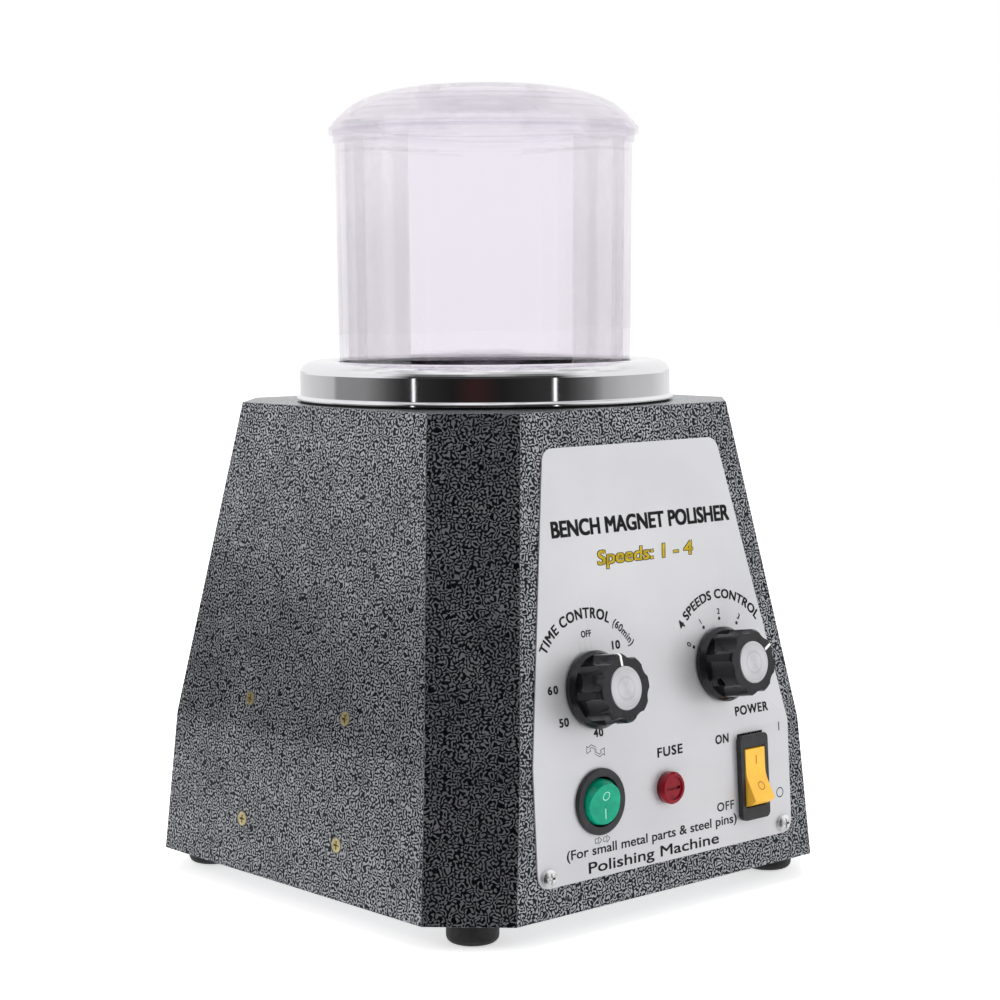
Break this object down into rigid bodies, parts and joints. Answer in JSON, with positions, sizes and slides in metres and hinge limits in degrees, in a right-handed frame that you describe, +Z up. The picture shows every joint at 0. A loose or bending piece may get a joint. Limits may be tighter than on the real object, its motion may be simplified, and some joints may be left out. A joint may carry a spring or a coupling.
{
  "type": "magnetic tumbler",
  "caption": "Bench-top magnetic tumbler: chamfered hammertone steel housing with timer and speed knobs, rocker switches, chromed ring and a lidded clear container over a magnet rotor.",
  "frame": {"origin": "middle of the footprint, controls included, on the surface that the feet stand on", "axes": "+Z up, -Y towards the user and the control panel, +X to the user's right"},
  "size_m": [0.1764, 0.192, 0.2682],
  "materials": {
    "hammertone": "hammertone enamel, dark blue-grey with a light network",
    "base_steel": "zinc-plated sheet",
    "rubber": "matt black",
    "plated_fastener": "nickel plated",
    "yellow_zinc": "yellow chromate over zinc",
    "panel_aluminium": "satin silver, printed",
    "chrome_ring": "bright chrome",
    "gasket_rubber": "matt black",
    "deck_steel": "satin stainless",
    "clear_plastic": "clear moulded plastic with a faint lilac tint",
    "black_bakelite": "gloss black",
    "spun_aluminium": "spun, bright",
    "switch_black": "satin black nylon",
    "rocker_yellow": "satin yellow",
    "rocker_green": "translucent green",
    "fuse_red": "translucent red",
    "fuse_body": "dark red",
    "terminal_brass": "tinned brass",
    "timer_case": "moulded phenolic",
    "board_green": "solder mask",
    "heat_sink": "extruded",
    "capacitor_sleeve": "shrink sleeve",
    "transformer_tape": "wound core with yellow tape",
    "motor_steel": "grey enamel",
    "copper_winding": "enamelled copper and laminations",
    "fan_plastic": "moulded",
    "rotor_aluminium": "turned",
    "magnet_nickel": "nickel-plated magnet",
    "steel_shaft": "ground",
    "glass_fuse": "glass tube with plated ends"
  },
  "bodies": {
    "housing": {"housing_shell": "hammertone", "base_plate": "base_steel", "rubber_feet": "rubber", "foot_screws": "plated_fastener", "foot_nuts": "plated_fastener", "control_panel": "panel_aluminium", "panel_screws": "plated_fastener", "locating_ring": "chrome_ring", "ring_gasket": "gasket_rubber", "deck_plate": "deck_steel", "ring_studs": "plated_fastener", "timer_module": "timer_case", "timer_nut": "plated_fastener", "speed_switch": "switch_black", "speed_nut": "plated_fastener", "power_switch_body": "switch_black", "direction_switch_body": "switch_black", "switch_terminals": "terminal_brass", "fuse_holder": "fuse_body", "fuse_nut": "plated_fastener", "side_screws": "yellow_zinc", "board_standoffs": "terminal_brass", "control_board": "board_green", "board_screws": "plated_fastener", "board_heat_sink": "heat_sink", "board_capacitors": "capacitor_sleeve", "board_transformer": "transformer_tape", "bracket_posts": "plated_fastener", "motor_bracket": "base_steel", "bracket_screws": "plated_fastener", "motor_can": "motor_steel", "motor_front_cap": "rotor_aluminium", "motor_rear_cap": "rotor_aluminium", "motor_stator": "copper_winding", "motor_bearings": "steel_shaft", "motor_screws": "plated_fastener", "mains_inlet": "switch_black", "inlet_screws": "plated_fastener"},
    "container": {"container": "clear_plastic"},
    "lid": {"lid": "clear_plastic"},
    "timer_knob": {"timer_knob": "black_bakelite", "timer_knob_cap": "spun_aluminium", "timer_grub_screw": "steel_shaft", "timer_shaft": "steel_shaft"},
    "speed_knob": {"speed_knob": "black_bakelite", "speed_knob_cap": "spun_aluminium", "speed_grub_screw": "steel_shaft", "speed_shaft": "steel_shaft"},
    "power_rocker": {"power_rocker": "rocker_yellow"},
    "direction_rocker": {"direction_rocker": "rocker_green"},
    "fuse_carrier": {"fuse_cap": "fuse_red", "fuse": "glass_fuse"},
    "rotor": {"motor_shaft": "steel_shaft", "motor_armature": "copper_winding", "cooling_fan": "fan_plastic", "rotor_hub": "rotor_aluminium", "rotor_disc": "rotor_aluminium", "magnets": "magnet_nickel", "hub_screws": "plated_fastener"}
  },
  "joints": [
    {"name": "container_lift", "type": "slide", "parent": "housing", "child": "container", "axis": [0, 0, 1], "range_m": [0, 0.1]},
    {"name": "lid_lift", "type": "slide", "parent": "container", "child": "lid", "axis": [0, 0, 1], "range_m": [0, 0.05]},
    {"name": "timer_turn", "type": "hinge", "parent": "housing", "child": "timer_knob", "pos_m": [-0.0296, -0.07991, 0.07571], "axis": [0, -0.9865, 0.1637], "range_deg": [-275, 0]},
    {"name": "speed_turn", "type": "hinge", "parent": "housing", "child": "speed_knob", "pos_m": [0.0291, -0.07968, 0.07709], "axis": [0, -0.9865, 0.1637], "range_deg": [0, 120]},
    {"name": "power_rock", "type": "hinge", "parent": "housing", "child": "power_rocker", "pos_m": [0.0389, -0.08371, 0.03893], "axis": [1, 0, 0], "range_deg": [0, 25.6]},
    {"name": "direction_rock", "type": "hinge", "parent": "housing", "child": "direction_rocker", "pos_m": [-0.0312, -0.08278, 0.04108], "axis": [1, 0, 0], "range_deg": [-15, 0]},
    {"name": "fuse_draw", "type": "slide", "parent": "housing", "child": "fuse_carrier", "axis": [0, -0.9983, 0.0578], "range_m": [0, 0.03]},
    {"name": "rotor_spin", "type": "hinge", "parent": "housing", "child": "rotor", "pos_m": [0, 0.004, 0.1], "axis": [0, 0, 1], "continuous": true}
  ]
}
